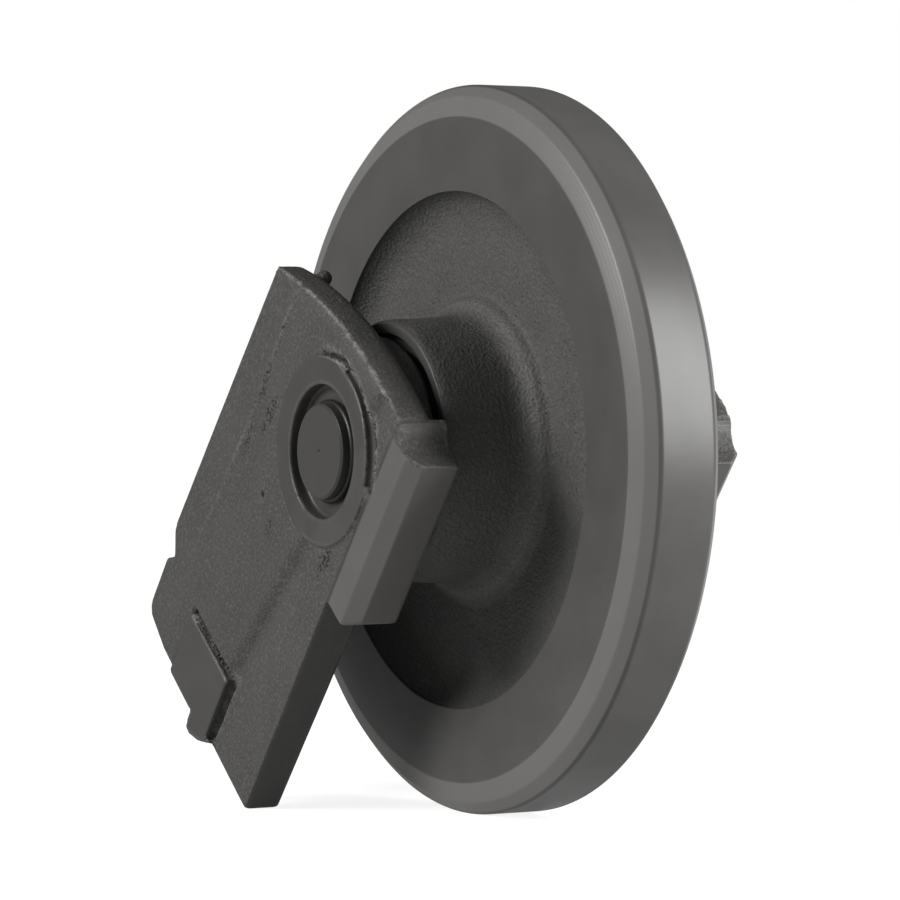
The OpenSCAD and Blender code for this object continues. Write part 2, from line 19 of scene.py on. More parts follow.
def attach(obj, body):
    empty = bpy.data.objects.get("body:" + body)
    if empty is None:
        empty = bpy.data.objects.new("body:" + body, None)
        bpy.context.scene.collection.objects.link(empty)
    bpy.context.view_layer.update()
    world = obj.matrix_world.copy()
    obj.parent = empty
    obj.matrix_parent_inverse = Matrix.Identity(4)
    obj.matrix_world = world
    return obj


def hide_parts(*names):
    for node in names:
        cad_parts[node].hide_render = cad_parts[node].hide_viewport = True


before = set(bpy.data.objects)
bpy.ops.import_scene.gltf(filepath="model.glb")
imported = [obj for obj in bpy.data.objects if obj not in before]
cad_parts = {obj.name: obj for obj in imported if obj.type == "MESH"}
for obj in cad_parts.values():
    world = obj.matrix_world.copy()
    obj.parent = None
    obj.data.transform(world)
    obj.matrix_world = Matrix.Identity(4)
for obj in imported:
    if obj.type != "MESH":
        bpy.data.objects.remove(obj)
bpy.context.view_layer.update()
MM = 0.001
TINY = 1e-12
# Ring waves repeat every 0.314 of a scaled metre.
RING_WAVE = 0.314
# Sockets that a Mix node uses for colours.
COLOUR_A, COLOUR_B, COLOUR_OUT = 6, 7, 2
LOG = logging.getLogger("front_idler")
Array = np.ndarray
Triple = tuple[float, float, float]
Tree, Node, Socket = bpy.types.NodeTree, bpy.types.Node, bpy.types.NodeSocket


class Side(Enum):
    """The two ends of the axle, as the sign of Y."""

    NEAR = -1
    FAR = 1


class Tooling(Enum):
    """How the smooth faces of a painted piece were cut."""

    TURNED = "turned"
    MILLED = "milled"


def linear(hex_colour: str) -> tuple[float, float, float, float]:
    """Turn an sRGB hex colour to linear light.

    Args:
        hex_colour: Colour such as "#3d3c3b".

    Returns:
        Red, green, blue and alpha for a colour socket.
    """
    srgb = np.array([int(hex_colour[i : i + 2], 16) for i in (1, 3, 5)]) / 255
    light = np.where(srgb <= 0.04045, srgb / 12.92, ((srgb + 0.055) / 1.055) ** 2.4)
    return (*light.tolist(), 1.0)


def per_metre(size_mm: float) -> float:
    """Texture scale whose features are about size_mm wide, in metres of Object coordinates."""
    return 1 / (size_mm * MM)


def add_node(tree: Tree, kind: str, sockets: dict[Any, Any] | None = None, **settings: Any) -> Node:
    """Add a node with its settings, its socket values and its links.

    Args:
        tree: Node tree that gets the node.
        kind: Shader node type, such as "TexNoise".
        sockets: Input name or index to a value, to the output socket that feeds it, or to the node whose first output
            feeds it.
        **settings: Properties of the node itself.

    Returns:
        The new node.
    """
    node = tree.nodes.new(f"ShaderNode{kind}")
    for name, value in settings.items():
        setattr(node, name, value)
    for key, value in (sockets or {}).items():
        feed = value.outputs[0] if isinstance(value, Node) else value
        if isinstance(feed, Socket):
            tree.links.new(feed, node.inputs[key])
        else:
            node.inputs[key].default_value = feed
    return node


def blank_material(name: str) -> tuple[bpy.types.Material, Tree]:
    """Make a material whose node tree is still empty.

    Args:
        name: Name of the material.

    Returns:
        The material and its node tree.
    """
    mat = bpy.data.materials.new(name)
    mat.use_nodes = True
    mat.node_tree.nodes.clear()
    return mat, mat.node_tree


def add_object(name: str, data: bpy.types.ID) -> bpy.types.Object:
    """Make an object and put it into the scene.

    Args:
        name: Name of the object.
        data: Its mesh, lamp or camera.

    Returns:
        The new object, at the origin.
    """
    obj = bpy.data.objects.new(name, data)
    bpy.context.scene.collection.objects.link(obj)
    return obj


def mesh_arrays(mesh: bpy.types.Mesh) -> tuple[Array, Array]:
    """Read a mesh.

    Args:
        mesh: The mesh.

    Returns:
        Its vertices in metres, one row each, and the vertex number of each corner of its faces.
    """
    co = np.empty(len(mesh.vertices) * 3, np.float32)
    mesh.vertices.foreach_get("co", co)
    corners = np.empty(len(mesh.loops), np.int32)
    mesh.loops.foreach_get("vertex_index", corners)
    return co.reshape(-1, 3), corners


def standing(right: Any, up: Any, back: Any, place: Any) -> Matrix:
    """Matrix of an object at a place, with its X, Y and Z along right, up and back."""
    return Matrix(np.vstack([np.stack([right, up, back, place], 1), (0, 0, 0, 1)]).tolist())


def smooth_step(low: float, high: float, value: Array) -> Array:
    """Ease from 0 at low to 1 at high, as 3t^2 - 2t^3 of the clipped share t."""
    t = np.clip((value - low) / (high - low), 0, 1)
    return t * t * (3 - 2 * t)


def bell(distance: Array, width: float | Array) -> Array:
    """Fall from 1 at no distance toward 0, as exp(-d^2) of the distance d in widths."""
    return np.exp(-((distance / width) ** 2))


def ring_faces(rows: int, columns: int, closed: bool) -> Array:
    """Number the corners of the faces of a grid whose rows are closed rings.

    Args:
        rows: Number of rings.
        columns: Vertices in each ring.
        closed: Whether the last ring joins the first.

    Returns:
        Four vertex numbers for each face.
    """
    row, column = np.meshgrid(np.arange(rows if closed else rows - 1), np.arange(columns), indexing="ij")
    below, beside = (row + 1) % rows, (column + 1) % columns
    corners = ((row, column), (below, column), (below, beside), (row, beside))
    return np.stack([r * columns + c for r, c in corners], 2).reshape(-1, 4)


@dataclass(frozen=True)
class Span:
    """A stretch of a line that eases in and out.

    Attributes:
        start: Where it begins to ease in.
        full: Where it is in.
        last: Where it begins to ease out.
        end: Where it is out.
    """

    start: float
    full: float
    last: float
    end: float

    def over(self, value: Array) -> Array:
        """Give 1 from full to last, easing to 0 at start and at end."""
        return smooth_step(self.start, self.full, value) * smooth_step(self.end, self.last, value)


@dataclass(frozen=True)
class SandNoise:
    """Gradient noise in space, the uneven skin that a sand mould leaves on a casting.

    Attributes:
        seed: Picks one skin among many.
        slopes: Number of random slopes.
        gain: Brings the heights to about -1 to 1.
    """

    seed: int
    slopes: int = 256
    gain: float = 1.6

    def sample(self, points: Array, size: float) -> Array:
        """Give smooth noise with one bump per size.

        Every corner of a grid of cubes has a random slope. A point's height is the blend of the eight slopes' heights
        round it, weighted by the fade 6t^5 - 15t^4 + 10t^3 of its place t in the cube.

        Args:
            points: Places, one row each.
            size: Width of a cube, in the same unit.

        Returns:
            One height per point, about -1 to 1.
        """
        rng = np.random.default_rng(self.seed)
        table = rng.permutation(self.slopes)
        slopes = rng.normal(size=(self.slopes, 3))
        slopes /= np.linalg.norm(slopes, axis=1, keepdims=True)
        cell = np.floor(points / size).astype(np.int64)
        part = points / size - cell
        fade = part**3 * (part * (part * 6 - 15) + 10)
        height = np.zeros(len(points))
        for corner in itertools.product((0, 1), repeat=3):
            x, y, z = ((cell + corner) % self.slopes).T
            slope = slopes[table[(table[(table[x] + y) % self.slopes] + z) % self.slopes]]
            weight = np.prod(np.where(np.array(corner) == 1, fade, 1 - fade), axis=1)
            height += weight * np.einsum("ij,ij->i", slope, part - corner)
        return height * self.gain


@dataclass
class Skin:
    """A closed surface of four-sided faces, in millimetres.

    Attributes:
        points: Vertices, one row each.
        quads: Vertex numbers of each face, anticlockwise from outside.
    """

    points: Array
    quads: Array

    def normals(self) -> Array:
        """Give each vertex the mean of its faces' normals.

        A face's normal is the cross product of its diagonals, so that large faces count for more.

        Returns:
            One unit normal per vertex.
        """
        a, b, c, d = (self.points[self.quads[:, i]] for i in range(4))
        face = np.repeat(np.cross(c - a, d - b), 4, axis=0)
        total = np.stack([np.bincount(self.quads.ravel(), part, len(self.points)) for part in face.T], 1)
        return total / np.maximum(np.linalg.norm(total, axis=1, keepdims=True), TINY)

    def neighbour_mean(self, values: Array) -> Array:
        """Give each vertex the mean of the values at the vertices that its edges lead to.

        Args:
            values: One number or one row per vertex.

        Returns:
            The means, in the same form.
        """
        here, ahead = self.quads.ravel(), np.roll(self.quads, -1, axis=1).ravel()
        start, end = np.concatenate([here, ahead]), np.concatenate([ahead, here])
        count = np.maximum(np.bincount(start, minlength=len(self.points)), 1)
        columns = values.reshape(len(values), -1).T
        mean = [np.bincount(start, column[end], len(self.points)) / count for column in columns]
        return np.stack(mean, 1).reshape(values.shape)

    def ridge(self) -> Array:
        """Measure how far each vertex stands above its neighbours along its normal: above zero on outer edges."""
        return np.einsum("ij,ij->i", self.points - self.neighbour_mean(self.points), self.normals())

    def even_edges(self, sharp: float, rounds: int, least: float = 0.2) -> None:
        """Draw the vertices of outer edges into line: each moves halfway to the mean of its neighbours on the edge.

        Args:
            sharp: Height above its neighbours from which a vertex counts as an edge.
            rounds: How often they move.
            least: Share of a vertex's neighbours that have to be on the edge too for it to move.
        """
        edge = (self.ridge() > sharp).astype(float)[:, None]
        share = self.neighbour_mean(edge)
        moved = edge * (share > least) / 2
        for _ in range(rounds):
            target = self.neighbour_mean(self.points * edge) / np.maximum(share, TINY)
            self.points = self.points + moved * (target - self.points)

    def piece(self, name: str, body: str, attributes: dict[str, Array]) -> bpy.types.Object:
        """Make the surface an object that rides on a body.

        Args:
            name: Name of the piece.
            body: Body it moves with.
            attributes: Name to one number per vertex, for the finishes.

        Returns:
            The new object, at the origin.
        """
        mesh = bpy.data.meshes.new(name)
        mesh.vertices.add(len(self.points))
        mesh.vertices.foreach_set("co", (self.points * MM).astype(np.float32).ravel())
        mesh.loops.add(self.quads.size)
        mesh.loops.foreach_set("vertex_index", self.quads.astype(np.int32).ravel())
        mesh.polygons.add(len(self.quads))
        mesh.polygons.foreach_set("loop_start", np.arange(0, self.quads.size, 4, dtype=np.int32))
        mesh.update(calc_edges=True)
        mesh.shade_smooth()
        for key, values in attributes.items():
            mesh.attributes.new(key, "FLOAT", "POINT").data.foreach_set("value", values.astype(np.float32))
        obj = add_object(name, mesh)
        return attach(obj, body)


@dataclass(frozen=True)
class CastEnamel:
    """Charcoal alkyd enamel, sprayed thinly over shot-blasted cast steel and over its machined faces.

    The eye gets a dark satin film: speckled and dull over the sand-cast skin, smoother with faint tool marks over the
    cut faces, paler where it drew thin over rough edges and where highlights and sheen are painted, and near black in
    pits and in lines of painted shade.

    Attributes:
        name: Name of the material.
        tooling: How the piece's smooth faces were cut.
        film: Colour of the full film.
        film_low: Colour of its duller patches.
        fleck: Colour on the tops of the cast skin's grains.
        pale: Paler colour, where the film is thin over an edge and where highlights and sheen are painted.
        pit_shade: Painted shade inside a sand pit and in lines of solid shade.
        rough_cast: Roughness over the cast skin.
        rough_cut: Roughness over cut faces.
        rough_grain: Roughness that the tops of the grains add.
        specular: Strength of the film's mirror light.
        patch_mm: Width of the duller patches.
        grain_mm: Width of the cast skin's grains.
        grain_depth_mm: Height of those grains.
        pit_mm: Spacing of the sand pits.
        pit_depth_mm: Depth of the sand pits.
        solid_shade_level: Value of the attribute pits_and_shade above which pits run together to solid painted shade.
        tool_mm: Spacing of the tool marks, drawn coarser than real ones so that they show.
        tool_depth_mm: Depth of the tool marks.
    """

    name: str
    tooling: Tooling
    film: str
    film_low: str
    fleck: str = "#5c5b59"
    pale: str = "#a09f9b"
    pit_shade: str = "#1c1c1c"
    rough_cast: float = 0.52
    rough_cut: float = 0.37
    rough_grain: float = 0.1
    specular: float = 0.3
    patch_mm: float = 30.0
    grain_mm: float = 1.6
    grain_depth_mm: float = 0.9
    pit_mm: float = 1.7
    pit_depth_mm: float = 0.4
    solid_shade_level: float = 1.2
    tool_mm: float = 2.0
    tool_depth_mm: float = 0.012

    def tool_marks(self, tree: Tree, place: Socket) -> Socket:
        """Add the tool's marks: rings round the axle where it was turned, streaks where it was milled.

        Args:
            tree: Node tree that gets the nodes.
            place: Object coordinates.

        Returns:
            A socket with the marks' height, 0 to 1.
        """
        if self.tooling is Tooling.TURNED:
            rings = {"Vector": place, "Scale": RING_WAVE * per_metre(self.tool_mm), "Distortion": 1.5, "Detail": 2.0}
            return add_node(tree, "TexWave", rings, wave_type="RINGS", rings_direction="Y").outputs["Fac"]
        # Milling leaves streaks ten times as long as they are wide.
        stretch = {"Vector": place, "Rotation": (0, math.radians(40), 0), "Scale": (1, 1, 0.1)}
        streaks = {"Vector": add_node(tree, "Mapping", stretch), "Scale": per_metre(self.tool_mm)}
        return add_node(tree, "TexNoise", streaks).outputs["Fac"]

    def pit_holes(self, tree: Tree, place: Socket) -> Node:
        """Add the sand pits, one about the middle of each cell, as wide as the attribute pits_and_shade says, and
        solid painted shade where it passes solid_shade_level.

        Args:
            tree: Node tree that gets the nodes.
            place: Object coordinates.

        Returns:
            A node whose output is 1 inside a pit and in solid shade, and 0 elsewhere.
        """
        pits_and_shade = add_node(tree, "Attribute", attribute_name="pits_and_shade").outputs["Fac"]
        cells = add_node(tree, "TexVoronoi", {"Vector": place, "Scale": per_metre(self.pit_mm)}).outputs
        # The cell's random colour, read as a grey, mixes large and small pits.
        width = add_node(tree, "MapRange", {"Value": cells["Color"], "From Min": 0.2, "To Max": 1.1})
        rim = add_node(tree, "Math", {0: pits_and_shade, 1: width}, operation="MULTIPLY")
        # Above this level the attribute lays solid painted shade.
        seam = add_node(tree, "Math", {0: pits_and_shade, 1: self.solid_shade_level}, operation="SUBTRACT")
        mouth = add_node(tree, "Math", {0: rim, 1: seam}, operation="MAXIMUM")
        inside = add_node(tree, "Math", {0: mouth, 1: cells["Distance"]}, operation="SUBTRACT")
        return add_node(tree, "MapRange", {"Value": inside, "From Max": 0.12})

    def material(self) -> bpy.types.Material:
        """Build the material, which reads the attributes cast, wear_and_sheen and pits_and_shade.

        The film's colour is laid over in turn by its duller patches, by flecks on the grains' tops, by the pale colour
        of thin film and painted highlights, which spares the hollows between the grains, and by the pits and the
        painted shade.

        Returns:
            The new material.
        """
        mat, tree = blank_material(self.name)
        place = add_node(tree, "TexCoord").outputs["Object"]
        cast = add_node(tree, "Attribute", attribute_name="cast").outputs["Fac"]
        wear_and_sheen = add_node(tree, "Attribute", attribute_name="wear_and_sheen").outputs["Fac"]
        grain = add_node(tree, "TexNoise", {"Vector": place, "Scale": per_metre(self.grain_mm), "Detail": 3.0})
        patch = add_node(tree, "TexNoise", {"Vector": place, "Scale": per_metre(self.patch_mm), "Detail": 4.0})
        dull = add_node(tree, "MapRange", {"Value": patch, "From Min": 0.38, "From Max": 0.62})
        high = add_node(tree, "MapRange", {"Value": grain, "From Min": 0.48, "From Max": 0.72})
        fleck = add_node(tree, "Math", {0: high, 1: cast}, operation="MULTIPLY")
        hollows = {"Value": grain, "From Min": 0.35, "From Max": 0.7, "To Min": 0.7, "To Max": 0.0}
        low = add_node(tree, "MapRange", hollows)
        kept = add_node(tree, "Math", {0: low, 1: cast}, operation="MULTIPLY")
        rubbed = add_node(tree, "Math", {0: 1.0, 1: kept}, operation="SUBTRACT")
        pale_share = add_node(tree, "Math", {0: wear_and_sheen, 1: rubbed}, operation="MULTIPLY")
        hole = self.pit_holes(tree, place)
        colour: Any = linear(self.film)
        # Over the film: duller patches, flecks, the pale colour of thin film and painted highlights, and painted shade
        # in pits.
        for share, over in ((dull, self.film_low), (fleck, self.fleck), (pale_share, self.pale), (hole, self.pit_shade)):
            layer = {0: share, COLOUR_A: colour, COLOUR_B: linear(over)}
            colour = add_node(tree, "Mix", layer, data_type="RGBA").outputs[COLOUR_OUT]
        sheen = add_node(tree, "MapRange", {"Value": cast, "To Min": self.rough_cut, "To Max": self.rough_cast})
        sand = add_node(tree, "Math", {0: grain, 1: cast}, operation="MULTIPLY")
        uneven = add_node(tree, "MapRange", {"Value": sand, "To Max": self.rough_grain})
        rough = add_node(tree, "Math", {0: sheen, 1: uneven}, operation="ADD")
        cut = add_node(tree, "Math", {0: 1.0, 1: cast}, operation="SUBTRACT")
        tool = add_node(tree, "Math", {0: self.tool_marks(tree, place), 1: cut}, operation="MULTIPLY")
        skin = {"Height": sand, "Distance": self.grain_depth_mm * MM}
        sunk = {"Height": hole, "Distance": self.pit_depth_mm * MM, "Normal": add_node(tree, "Bump", skin)}
        lower = add_node(tree, "Bump", sunk, invert=True)
        cuts = {"Height": tool, "Distance": self.tool_depth_mm * MM, "Normal": lower}
        surface = {"Base Color": colour, "Roughness": rough, "Normal": add_node(tree, "Bump", cuts),
                   "Specular IOR Level": self.specular}
        add_node(tree, "OutputMaterial", {"Surface": add_node(tree, "BsdfPrincipled", surface)})
        return mat


@dataclass(frozen=True)
class TurnedPart:
    """A lathe-turned or drawn part, painted or bare, with fine marks round the axle.

    Attributes:
        name: Name of the material.
        colour: Its main colour.
        shade: Colour of its duller patches.
        metallic: 1 for bare metal, 0 for paint.
        roughness: Mean roughness.
        mark_mm: Spacing of the marks, drawn coarser than real ones so that they show.
        mark_depth_mm: Depth of the marks.
        patch_mm: Width of the duller patches.
        rough_spread: How far the roughness goes up and down in patches.
    """

    name: str
    colour: str
    shade: str
    metallic: float
    roughness: float
    mark_mm: float = 1.2
    mark_depth_mm: float = 0.01
    patch_mm: float = 9.0
    rough_spread: float = 0.08

    def material(self) -> bpy.types.Material:
        """Build the material.

        Returns:
            The new material.
        """
        mat, tree = blank_material(self.name)
        place = add_node(tree, "TexCoord").outputs["Object"]
        patch = add_node(tree, "TexNoise", {"Vector": place, "Scale": per_metre(self.patch_mm), "Detail": 5.0})
        marks = {"Vector": place, "Scale": RING_WAVE * per_metre(self.mark_mm), "Distortion": 1.0, "Detail": 2.0}
        rings = add_node(tree, "TexWave", marks, wave_type="RINGS", rings_direction="Y").outputs["Fac"]
        shades = {0: patch, COLOUR_A: linear(self.colour), COLOUR_B: linear(self.shade)}
        spread = {"Value": patch, "To Min": self.roughness - self.rough_spread,
                  "To Max": self.roughness + self.rough_spread}
        relief = {"Height": rings, "Distance": self.mark_depth_mm * MM}
        surface = {"Base Color": add_node(tree, "Mix", shades, data_type="RGBA").outputs[COLOUR_OUT],
                   "Roughness": add_node(tree, "MapRange", spread),
                   "Metallic": self.metallic, "Specular IOR Level": 0.3 if self.metallic == 0 else 0.5,
                   "Normal": add_node(tree, "Bump", relief)}
        add_node(tree, "OutputMaterial", {"Surface": add_node(tree, "BsdfPrincipled", surface)})
        return mat


@dataclass(frozen=True)
class MouldedRubber:
    """Black nitrile rubber from a mould: matt, with a grey bloom in patches.

    Attributes:
        name: Name of the material.
        colour: Colour of the rubber.
        bloom: Colour of the bloom.
        roughness: Its roughness.
        bloom_mm: Width of the bloom's patches.
        bloom_depth_mm: Their height.
    """

    name: str = "moulded_nitrile_rubber"
    colour: str = "#1b1b1b"
    bloom: str = "#2a2a2a"
    roughness: float = 0.75
    bloom_mm: float = 5.0
    bloom_depth_mm: float = 0.02

    def material(self) -> bpy.types.Material:
        """Build the material.

        Returns:
            The new material.
        """
        mat, tree = blank_material(self.name)
        place = add_node(tree, "TexCoord").outputs["Object"]
        patch = add_node(tree, "TexNoise", {"Vector": place, "Scale": per_metre(self.bloom_mm), "Detail": 4.0})
        shades = {0: patch, COLOUR_A: linear(self.colour), COLOUR_B: linear(self.bloom)}
        relief = {"Height": patch, "Distance": self.bloom_depth_mm * MM}
        surface = {"Base Color": add_node(tree, "Mix", shades, data_type="RGBA").outputs[COLOUR_OUT],
                   "Roughness": self.roughness, "Normal": add_node(tree, "Bump", relief)}
        add_node(tree, "OutputMaterial", {"Surface": add_node(tree, "BsdfPrincipled", surface)})
        return mat


@dataclass
class GuideWheel:
    """The cast wheel: a closed section carried once round the axle. Sizes in millimetres, out along the axle."""

    tread_r: float = 177.99
    tread_half: float = 15.0
    tread_edge: float = 1.2
    bevel_r: float = 171.8
    bevel_out: float = 20.1
    face_r: float = 162.4
    face_out: float = 22.8
    recess_r: float = 126.0
    recess_step: float = 3.0
    dish_r: float = 22.0
    web_out: float = 10.2
    shoulder_r: float = 74.5
    shoulder_foot: float = 1.0
    shoulder_round: float = 5.0
    hub_fillet: float = 9.0
    hub_root_r: float = 65.0
    hub_end_r: float = 63.2
    hub_edge: float = 1.6
    hub_out: float = 60.5
    mouth_r: float = 57.0
    mouth_out: float = 56.5
    housing_mouth_r: float = 49.46
    housing_floor_r: float = 48.51
    housing_floor_out: float = 50.49
    bore_r: float = 27.57
    bore_in: float = 20.49
    chamber_r: float = 31.0
    arc_steps: int = 24
    sample_gap: float = 0.2
    edge_blur: float = 0.35
    cast_blur: float = 2.7
    mark_blur: float = 0.8
    bend_blur: float = 0.7
    plain_gap: float = 16.0
    cast_gap: float = 3.2
    bend_step: float = 5.0
    inner_share: float = 0.3
    section_steps: int = 320
    turn_steps: int = 310
    wave_mm: float = 17.0
    skin_wave: float = 0.32
    bump_mm: float = 6.0
    skin_bump: float = 0.2
    pits_and_shade: float = 0.24
    bevel_pale: float = 0.3
    corner_highlight: float = 0.05
    shoulder_highlight: float = 0.16

    def arc(self, r: float, out: float, radius: float, start: float, end: float) -> Array:
        """Points of a circle arc about (r, out) from angle start to end."""
        angle = np.linspace(start, end, self.arc_steps)
        return np.stack([r + radius * np.cos(angle), out + radius * np.sin(angle)], 1)

    def half_section(self) -> tuple[Array, Array]:
        """Lay out half the section from the middle of the tread to the middle of the bore.

        Straight runs are corners; the dish, the shoulder and the hub's foot are circle arcs that meet in tangents.

        Returns:
            Radius and out of each corner, and 1 where the run after it is cast.
        """
        rise = self.face_out - self.recess_step - self.web_out
        dish_at = self.recess_r - math.sqrt(self.dish_r**2 - (self.dish_r - rise) ** 2)
        dish_from = math.asin((rise - self.dish_r) / self.dish_r)
        round_r = self.shoulder_r - self.shoulder_round
        round_out = self.web_out + self.shoulder_foot
        foot_r = self.hub_root_r + self.hub_fillet
        foot_out = round_out + math.sqrt((self.hub_fillet + self.shoulder_round) ** 2 - (foot_r - round_r) ** 2)
        lean = math.atan2(foot_out - round_out, foot_r - round_r)
        turned = np.array([
            (self.tread_r, 0), (self.tread_r, self.tread_half - self.tread_edge),
            (self.tread_r - self.tread_edge / 2, self.tread_half), (self.bevel_r, self.bevel_out),
            (self.face_r, self.face_out), (self.recess_r, self.face_out)])
        cast = np.concatenate([
            self.arc(dish_at, self.web_out + self.dish_r, self.dish_r, dish_from, -math.pi / 2),
            [(self.shoulder_r, self.web_out)],
            self.arc(round_r, round_out, self.shoulder_round, 0, lean),
            self.arc(foot_r, foot_out, self.hub_fillet, math.pi + lean, math.pi),
            [(self.hub_end_r, self.hub_out - self.hub_edge)]])
        bored = np.array([
            (self.hub_end_r - self.hub_edge, self.hub_out), (self.mouth_r, self.hub_out),
            (self.mouth_r, self.mouth_out), (self.housing_mouth_r, self.mouth_out),
            (self.housing_floor_r, self.housing_floor_out), (self.bore_r, self.housing_floor_out),
            (self.bore_r, self.bore_in), (self.chamber_r, self.bore_in), (self.chamber_r, 0)])
        flags = np.concatenate([np.zeros(len(turned)), np.ones(len(cast)), np.zeros(len(bored))])
        return np.concatenate([turned, cast, bored]), flags

    def section(self) -> tuple[Array, Array]:
        """Close the section, soften its corners, and place points where they are needed.

        The half section and its mirror image are sampled every sample_gap and blurred along their length by a bell
        curve, which is wider on cast runs. Points are then spaced by a density that grows with curvature and over cast
        runs, and less so inside the bore.

        Returns:
            Radius and out of each point round the closed section, and how cast it is.
        """
        half, flags = self.half_section()
        corners = np.concatenate([half, (half * (1, -1))[-2:0:-1], half[:1]])
        marks = np.concatenate([flags, flags[-2:0:-1], flags[:1]])
        length = np.concatenate([[0], np.cumsum(np.linalg.norm(np.diff(corners, axis=0), axis=1))])
        step = length[-1] / round(length[-1] / self.sample_gap)
        at = np.arange(0, length[-1] - step / 2, step)
        raw = np.stack([np.interp(at, length, corners[:, i]) for i in range(2)], 1)

        def blurred(values: Array, width: float) -> Array:
            """Values round the section, blurred by a bell curve of this width."""
            curve = np.exp(-2 * (math.pi * width * np.fft.fftfreq(len(at), step)) ** 2)
            return np.fft.ifft(np.fft.fft(values, axis=0) * curve.reshape(-1, *[1] * (values.ndim - 1)), axis=0).real

        cast = blurred(np.interp(at, length, marks), self.mark_blur)
        fine = blurred(raw, self.edge_blur) * (1 - cast[:, None]) + blurred(raw, self.cast_blur) * cast[:, None]
        ahead = np.roll(fine, -1, axis=0) - fine
        heading = np.unwrap(np.arctan2(ahead[:, 1], ahead[:, 0]))
        bend = blurred(np.abs(np.diff(heading, append=heading[-1])) / step, self.bend_blur)
        seen = np.where(raw[:, 0] < self.mouth_r - 1, self.inner_share, 1.0)
        need = 1 / self.plain_gap + cast / self.cast_gap + seen * bend / math.radians(self.bend_step)
        density = np.cumsum(need * step)
        index = np.arange(len(at))
        pick = np.interp(np.arange(self.section_steps) * density[-1] / self.section_steps, density, index)
        return np.stack([np.interp(pick, index, fine[:, i]) for i in range(2)], 1), np.interp(pick, index, cast)

    def paler_places(self, points: Array, cast: Array) -> Array:
        """Find where the colour is paler: over the rim's bevels, and as painted highlights along their corner and
        round the cast shoulder.

        Args:
            points: Vertices of the wheel.
            cast: How cast each one is.

        Returns:
            0 where the film's own colour shows to 1 where it is palest.
        """
        around = np.hypot(points[:, 0], points[:, 2])
        # The bevels are paler; the line along their corner and the band round the shoulder are painted highlights.
        bevels = Span(self.face_r - 0.3, self.face_r + 0.3, self.tread_r - 1.2, self.tread_r - 0.7)
        shoulder = cast * bell(around - self.shoulder_r + 3, 2.2) * (np.abs(points[:, 1]) < self.web_out + 9)
        corner = bell(around - self.bevel_r, 0.5)
        return self.bevel_pale * bevels.over(around) + self.corner_highlight * corner + self.shoulder_highlight * shoulder

    def build(self) -> bpy.types.Object:
        """Carry the section round the axle and raise the cast skin on it.

        A point is (r cos t, -out, r sin t) at turn t. The skin adds long waves and short bumps of sand noise along the
        normal, only where the section is cast.

        Returns:
            The wheel's piece.
        """
        section, cast = self.section()
        turn = np.linspace(0, 2 * math.pi, self.turn_steps, endpoint=False)
        r, out = section[:, :1], section[:, 1:] * np.ones(len(turn))
        points = np.stack([r * np.cos(turn), -out, r * np.sin(turn)], 2).reshape(-1, 3)
        skin = Skin(points, ring_faces(len(r), len(turn), closed=True))
        outward = skin.normals()
        tread = np.argmax(np.hypot(points[:, 0], points[:, 2]))
        if outward[tread] @ (points[tread] * (1, 0, 1)) < 0:
            skin.quads = skin.quads[:, ::-1]
            outward = -outward
        amount = np.repeat(cast, len(turn))
        noise = SandNoise(7)
        waves, bumps = (noise.sample(points, size) for size in (self.wave_mm, self.bump_mm))
        height = self.skin_wave * waves + self.skin_bump * bumps
        skin.points = points + outward * (amount * height)[:, None]
        looks = {"cast": amount, "wear_and_sheen": self.paler_places(points, amount), "pits_and_shade": self.pits_and_shade * amount}
        piece = skin.piece("idler_wheel_skin", "wheel", looks)
        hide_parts("idler_wheel")
        return piece

    def dress(self, piece: bpy.types.Object) -> None:
        """Paint the wheel, whose smooth faces were turned."""
        enamel = CastEnamel("enamel_on_turned_casting", Tooling.TURNED, "#525150", "#4d4c4b")
        piece.data.materials.append(enamel.material())


@dataclass
class BracketZones:
    """Places on a bracket's skin, each as one number per vertex, 0 outside the place to 1 within it.

    Attributes:
        flat: Vertices, lying flat.
        normals: Their normals.
        cast: Cast skin, 0 on machined faces.
        outer: Face that looks out along the axle.
        front: Rounded edge of the crowned front end.
        groove: Groove beside the boss.
        brim: The boss's rim along the groove.
        banks: Pitted banks of the groove.
        ends: The groove's two ends, where it runs out.
        seam: Line of solid painted shade along the boss, on from the groove's lower end.
        merge: Land that runs down to the boss.
        crest: Crest along the land's bend.
        valley: Cast valley round the rear seat.
        trench: Its deepest line, along the seat's front edge.
        strip: Lower strip beside the guide edge.
        foot_shade: Line of painted shade along the guide pad's foot.
        hole: Distance from the blow hole in the land, in its radii.
    """

    flat: Array
    normals: Array
    cast: Array
    outer: Array
    front: Array
    groove: Array
    brim: Array
    banks: Array
    ends: Array
    seam: Array
    merge: Array
    crest: Array
    valley: Array
    trench: Array
    strip: Array
    foot_shade: Array
    hole: Array


